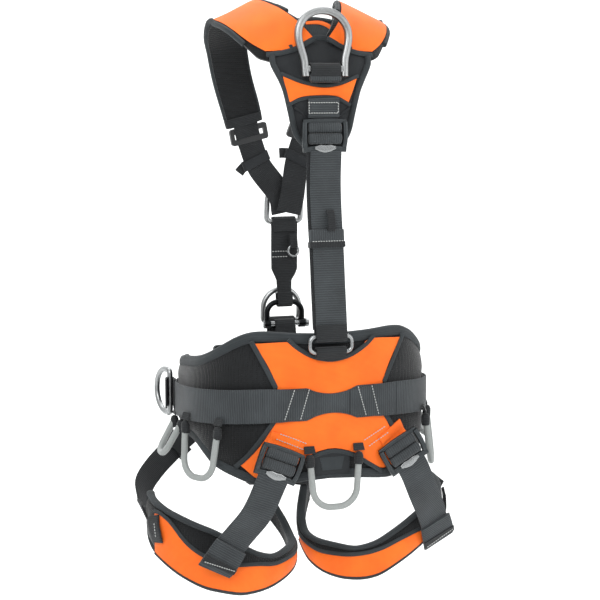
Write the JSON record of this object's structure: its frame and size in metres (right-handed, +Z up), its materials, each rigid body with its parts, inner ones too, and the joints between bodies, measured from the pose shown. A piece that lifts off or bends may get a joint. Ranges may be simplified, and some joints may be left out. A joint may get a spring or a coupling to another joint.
{
  "type": "full body work harness",
  "caption": "Full body work positioning harness: padded lumbar belt, padded leg loops, back and chest yoke, with swinging attachment rings and gear loops.",
  "frame": {"origin": "centre of the waist opening, 13 mm below the middle of the belt webbing at the back", "axes": "+Z up along the wearer's spine, -Y is the wearer's back, +X is the wearer's right side"},
  "size_m": [0.4626, 0.2886, 0.8212],
  "materials": {
    "webbing": "woven polyester webbing, dark grey, 45 mm and 38 mm",
    "orange_fabric": "orange ripstop cover fabric",
    "black_mesh": "black spacer mesh over closed cell foam",
    "ring_metal": "forged aluminium rings, tumbled and clear anodised",
    "buckle_metal": "pressed buckle frames, dark grey coating",
    "steel": "zinc plated steel bars, pins and small rings",
    "black_link": "black anodised link",
    "loop_tube": "light grey soft plastic tube over a core",
    "plastic": "black moulded nylon buckles"
  },
  "bodies": {
    "harness": {"accessory_tab": "webbing", "back_ring": "buckle_metal", "back_ring_loop": "webbing", "belt_buckle_left": "buckle_metal", "belt_buckle_right": "buckle_metal", "belt_front_left": "webbing", "belt_front_right": "webbing", "belt_webbing": "webbing", "dorsal_buckle_frame": "buckle_metal", "dorsal_strap": "webbing", "dorsal_webbing": "webbing", "lateral_d_tabs": "webbing", "leg_buckle_left_frame": "buckle_metal", "leg_buckle_right_frame": "buckle_metal", "leg_riser_tops": "webbing", "link_ring": "black_link", "lumbar_pad": "black_mesh", "lumbar_panel": "orange_fabric", "shoulder_buckles": "plastic", "shoulder_keeper_left": "webbing", "shoulder_keeper_right": "webbing", "shoulder_pad_left": "black_mesh", "shoulder_pad_right": "black_mesh", "shoulder_panel_left": "orange_fabric", "shoulder_panel_right": "orange_fabric", "shoulder_strap_left": "webbing", "shoulder_strap_right": "webbing", "sternal_strap": "webbing", "tag_pocket": "webbing", "ventral_bridge": "webbing", "yoke_bow_panel": "orange_fabric", "yoke_pad": "black_mesh"},
    "dorsal_ring": {"dorsal_d_ring": "ring_metal"},
    "sternal_ring": {"sternal_d_ring": "ring_metal"},
    "ventral_ring": {"ventral_d_ring": "ring_metal"},
    "link_pin": {"link_bolt": "steel"},
    "tool_ring": {"accessory_ring": "steel"},
    "lateral_ring_left": {"lateral_d_ring_left": "ring_metal"},
    "lateral_ring_right": {"lateral_d_ring_right": "ring_metal"},
    "gear_loop_rear_body": {"gear_loop_rear": "loop_tube"},
    "gear_loop_left_back_body": {"gear_loop_left_back": "loop_tube"},
    "gear_loop_right_back_body": {"gear_loop_right_back": "loop_tube"},
    "gear_loop_left_front_body": {"gear_loop_left_front": "loop_tube"},
    "gear_loop_right_front_body": {"gear_loop_right_front": "loop_tube"},
    "leg_left": {"leg_front_buckle_left": "plastic", "leg_front_strap_left": "webbing", "leg_inner_strap_left": "webbing", "leg_pad_left": "black_mesh", "leg_panel_left": "orange_fabric", "leg_riser_left": "webbing"},
    "leg_right": {"leg_front_buckle_right": "plastic", "leg_front_strap_right": "webbing", "leg_inner_strap_right": "webbing", "leg_pad_right": "black_mesh", "leg_panel_right": "orange_fabric", "leg_riser_right": "webbing"},
    "dorsal_bar": {"dorsal_buckle_bar": "steel"},
    "leg_bar_left": {"leg_buckle_left_bar": "steel"},
    "leg_bar_right": {"leg_buckle_right_bar": "steel"},
    "dorsal_keeper": {"dorsal_strap_keeper": "webbing"}
  },
  "joints": [
    {"name": "dorsal_ring_swing", "type": "hinge", "parent": "harness", "child": "dorsal_ring", "pos_m": [-0.005, -0.111, 0.466], "axis": [1, 0, 0], "range_deg": [0, 140]},
    {"name": "sternal_ring_swing", "type": "hinge", "parent": "harness", "child": "sternal_ring", "pos_m": [0.011, 0.102, 0.245], "axis": [-1, 0, 0], "range_deg": [0, 140]},
    {"name": "ventral_ring_swing", "type": "hinge", "parent": "harness", "child": "ventral_ring", "pos_m": [0.01, 0.111, 0.096], "axis": [-1, 0, 0], "range_deg": [0, 140]},
    {"name": "link_bolt_turn", "type": "hinge", "parent": "harness", "child": "link_pin", "pos_m": [0.01, 0.095, 0.094], "axis": [1, 0, 0], "continuous": true},
    {"name": "accessory_ring_swing", "type": "hinge", "parent": "harness", "child": "tool_ring", "pos_m": [0.022, 0.089, 0.21], "axis": [1, 0, 0], "range_deg": [-60, 8]},
    {"name": "lateral_ring_left_swing", "type": "hinge", "parent": "harness", "child": "lateral_ring_left", "pos_m": [-0.17873, 0.05072, 0.01], "axis": [0, 0, 1], "range_deg": [0, 130]},
    {"name": "lateral_ring_right_swing", "type": "hinge", "parent": "harness", "child": "lateral_ring_right", "pos_m": [0.17873, 0.05072, 0.01], "axis": [0, 0, -1], "range_deg": [0, 130]},
    {"name": "gear_loop_rear_swing", "type": "hinge", "parent": "harness", "child": "gear_loop_rear_body", "pos_m": [0.00196, -0.133, -0.062], "axis": [-1, -0.0003, 0], "range_deg": [0, 60]},
    {"name": "gear_loop_left_back_swing", "type": "hinge", "parent": "harness", "child": "gear_loop_left_back_body", "pos_m": [-0.16798, -0.06607, -0.022], "axis": [-0.4236, 0.9058, 0], "range_deg": [0, 60]},
    {"name": "gear_loop_right_back_swing", "type": "hinge", "parent": "harness", "child": "gear_loop_right_back_body", "pos_m": [0.16798, -0.06607, -0.022], "axis": [-0.4236, -0.9058, 0], "range_deg": [0, 60]},
    {"name": "gear_loop_left_front_swing", "type": "hinge", "parent": "harness", "child": "gear_loop_left_front_body", "pos_m": [-0.17887, 0.01162, -0.026], "axis": [0.0277, 0.9996, 0], "range_deg": [0, 45]},
    {"name": "gear_loop_right_front_swing", "type": "hinge", "parent": "harness", "child": "gear_loop_right_front_body", "pos_m": [0.17887, 0.01162, -0.026], "axis": [0.0277, -0.9996, 0], "range_deg": [0, 45]},
    {"name": "leg_left_swing", "type": "hinge", "parent": "harness", "child": "leg_left", "pos_m": [-0.09061, -0.139, -0.08774], "axis": [0.2364, 0.9405, 0.2441], "range_deg": [0, 12]},
    {"name": "leg_right_swing", "type": "hinge", "parent": "harness", "child": "leg_right", "pos_m": [0.1215, -0.131, -0.08385], "axis": [0.3469, -0.9094, -0.2295], "range_deg": [0, 12]},
    {"name": "dorsal_bar_slide", "type": "slide", "parent": "harness", "child": "dorsal_bar", "axis": [0, 0, 1], "range_m": [0, 0.005]},
    {"name": "leg_bar_left_slide", "type": "slide", "parent": "harness", "child": "leg_bar_left", "axis": [0.3746, 0, 0.9272], "range_m": [0, 0.005]},
    {"name": "leg_bar_right_slide", "type": "slide", "parent": "harness", "child": "leg_bar_right", "axis": [-0.5, 0, 0.866], "range_m": [0, 0.005]},
    {"name": "dorsal_keeper_slide", "type": "slide", "parent": "harness", "child": "dorsal_keeper", "axis": [0.0112, -0.1195, -0.9928], "range_m": [-0.01, 0.01]}
  ]
}
